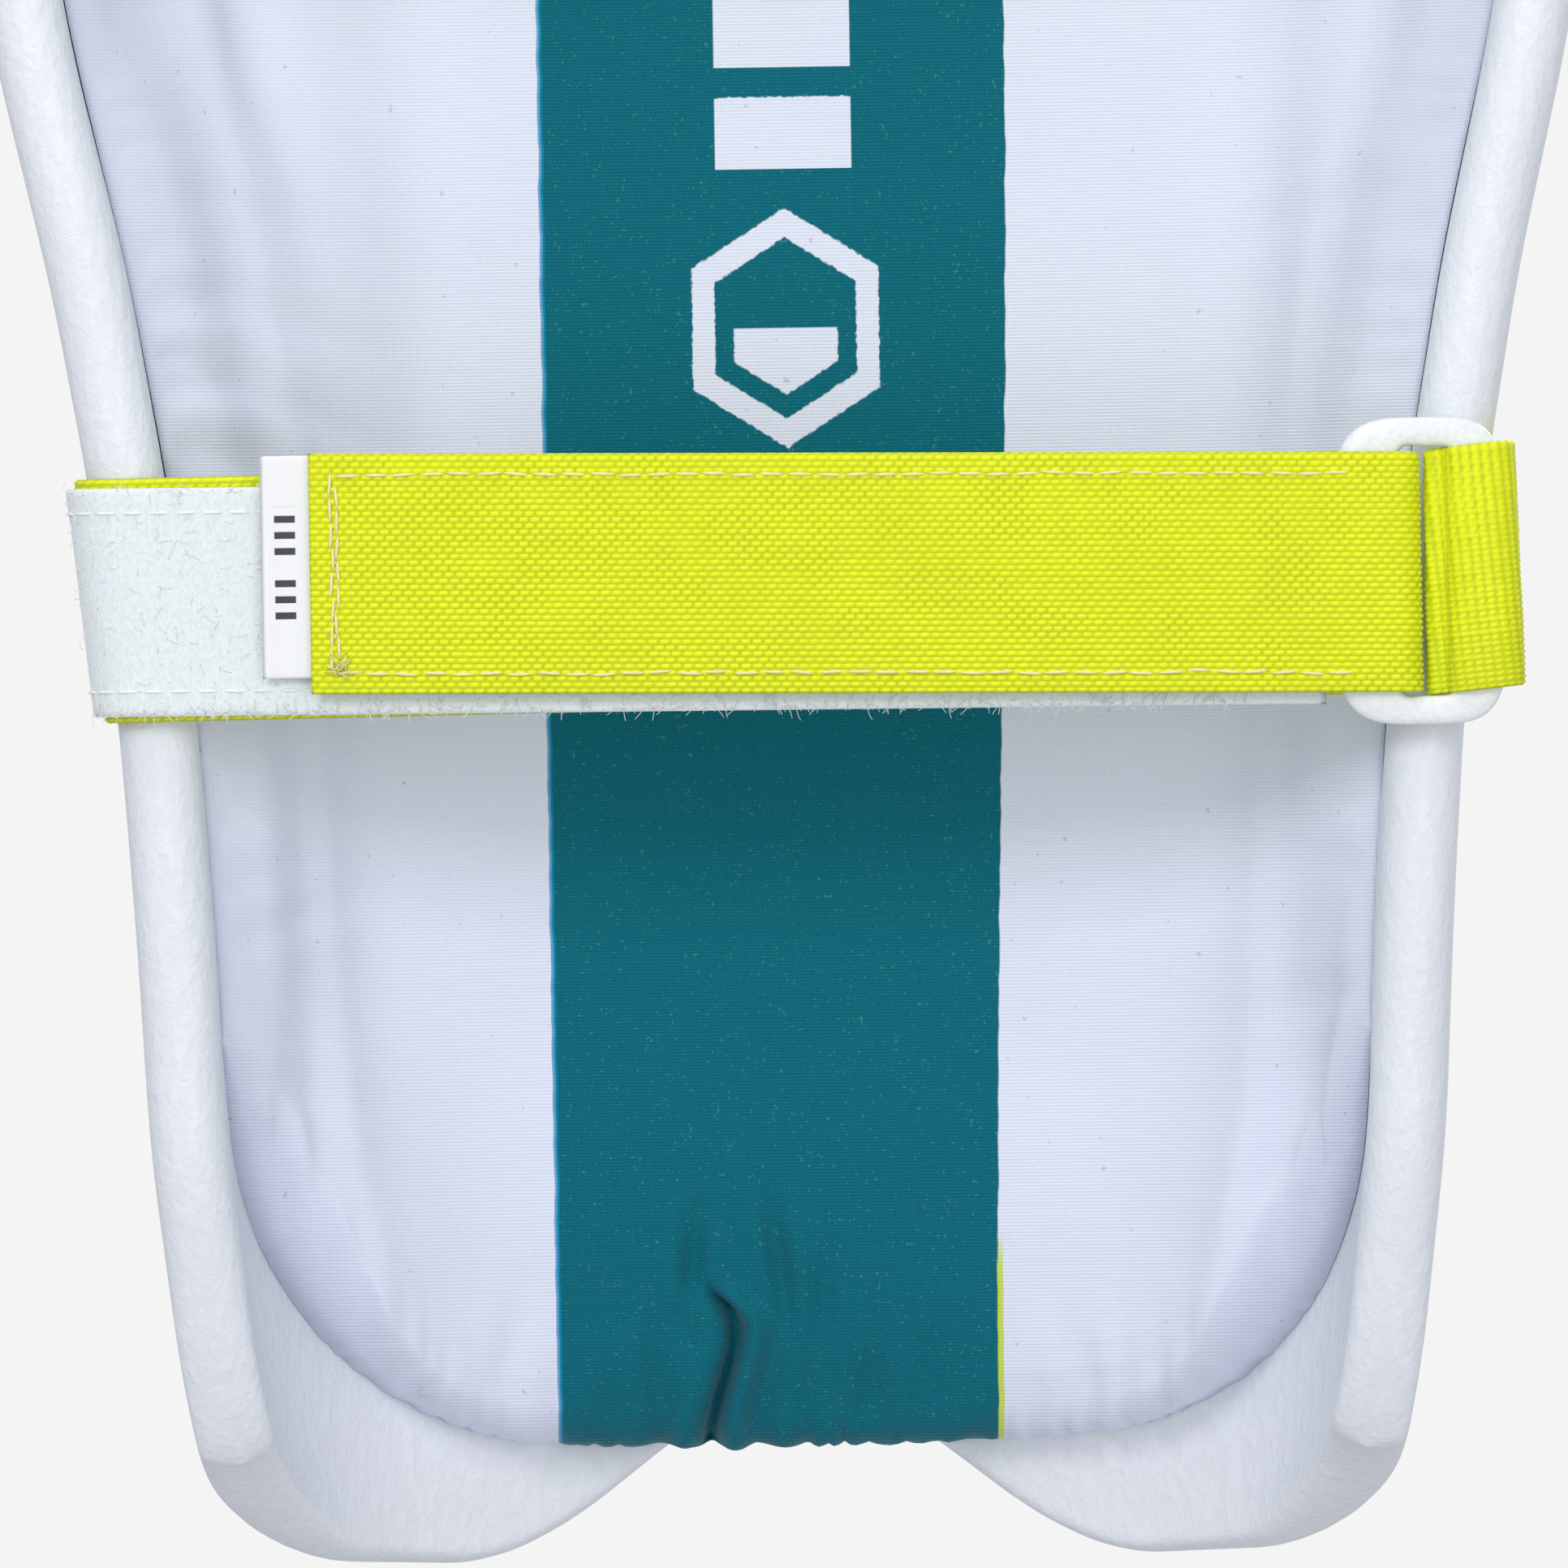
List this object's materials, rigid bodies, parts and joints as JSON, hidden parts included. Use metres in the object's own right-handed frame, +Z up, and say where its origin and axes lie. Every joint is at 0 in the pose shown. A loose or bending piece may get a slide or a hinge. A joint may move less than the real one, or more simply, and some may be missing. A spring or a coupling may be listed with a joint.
{
  "type": "cricket leg pad",
  "caption": "Junior batting leg pad: moulded foam shell with a padded lining and webbing straps that pass through plastic rings and fold back on hook and loop tape.",
  "frame": {"origin": "on the leg's axis, level with the lowest edge of the shell", "axes": "+Z up the leg from the instep to the thigh, -Y to the leg side where the straps close, +X to the side that carries the rings"},
  "size_m": [0.2755, 0.1112, 0.5995],
  "materials": {
    "foam_shell": "satin moulded foam skin with a fine mottled grain",
    "lining_cloth": "fine plain-woven cotton blend with a printed teal band",
    "cushion_foam": "soft open foam",
    "yellow_webbing": "coarse woven webbing",
    "white_pile_tape": "looped pile",
    "white_hook_tape": "moulded hooks",
    "white_plastic": "satin, slightly translucent",
    "white_ribbon": "satin ribbon with plain printed bars"
  },
  "bodies": {
    "pad": {"moulded_shell": "foam_shell", "shin_liner_cover": "lining_cloth", "shin_liner_foam": "cushion_foam", "knee_bolster_cover": "lining_cloth", "knee_bolster_foam": "cushion_foam", "top_liner_cover": "lining_cloth", "top_liner_foam": "cushion_foam", "ankle_strap_run": "yellow_webbing", "ankle_loop_tape": "white_pile_tape", "ankle_anchor_patch": "yellow_webbing", "calf_strap_run": "yellow_webbing", "calf_loop_tape": "white_pile_tape", "calf_anchor_patch": "yellow_webbing", "knee_strap_run": "yellow_webbing", "knee_loop_tape": "white_pile_tape", "knee_anchor_patch": "yellow_webbing"},
    "ankle_ring_body": {"ankle_ring": "white_plastic", "ankle_anchor_loop": "yellow_webbing", "ankle_strap_turn": "yellow_webbing"},
    "ankle_tail_body": {"ankle_strap_tail": "yellow_webbing", "ankle_hook_tape": "white_hook_tape", "ankle_label": "white_ribbon"},
    "calf_ring_body": {"calf_ring": "white_plastic", "calf_anchor_loop": "yellow_webbing", "calf_strap_turn": "yellow_webbing"},
    "calf_tail_body": {"calf_strap_tail": "yellow_webbing", "calf_hook_tape": "white_hook_tape"},
    "knee_ring_body": {"knee_ring": "white_plastic", "knee_anchor_loop": "yellow_webbing", "knee_strap_turn": "yellow_webbing"},
    "knee_tail_body": {"knee_strap_tail": "yellow_webbing", "knee_hook_tape": "white_hook_tape"}
  },
  "joints": [
    {"name": "ankle_ring_flip", "type": "hinge", "parent": "pad", "child": "ankle_ring_body", "pos_m": [0.10952, -0.02677, 0.153], "axis": [0, 0, 1], "range_deg": [0, 35]},
    {"name": "ankle_tail_peel", "type": "hinge", "parent": "ankle_ring_body", "child": "ankle_tail_body", "pos_m": [0.09472, -0.03507, 0.153], "axis": [0, 0, 1], "range_deg": [0, 125]},
    {"name": "calf_ring_flip", "type": "hinge", "parent": "pad", "child": "calf_ring_body", "pos_m": [0.13415, -0.02803, 0.3], "axis": [0, 0, 1], "range_deg": [0, 35]},
    {"name": "calf_tail_peel", "type": "hinge", "parent": "calf_ring_body", "child": "calf_tail_body", "pos_m": [0.11935, -0.03633, 0.3], "axis": [0, 0, 1], "range_deg": [0, 125]},
    {"name": "knee_ring_flip", "type": "hinge", "parent": "pad", "child": "knee_ring_body", "pos_m": [0.12893, -0.02887, 0.432], "axis": [0, 0, 1], "range_deg": [0, 35]},
    {"name": "knee_tail_peel", "type": "hinge", "parent": "knee_ring_body", "child": "knee_tail_body", "pos_m": [0.11413, -0.03717, 0.432], "axis": [0, 0, 1], "range_deg": [0, 125]}
  ]
}
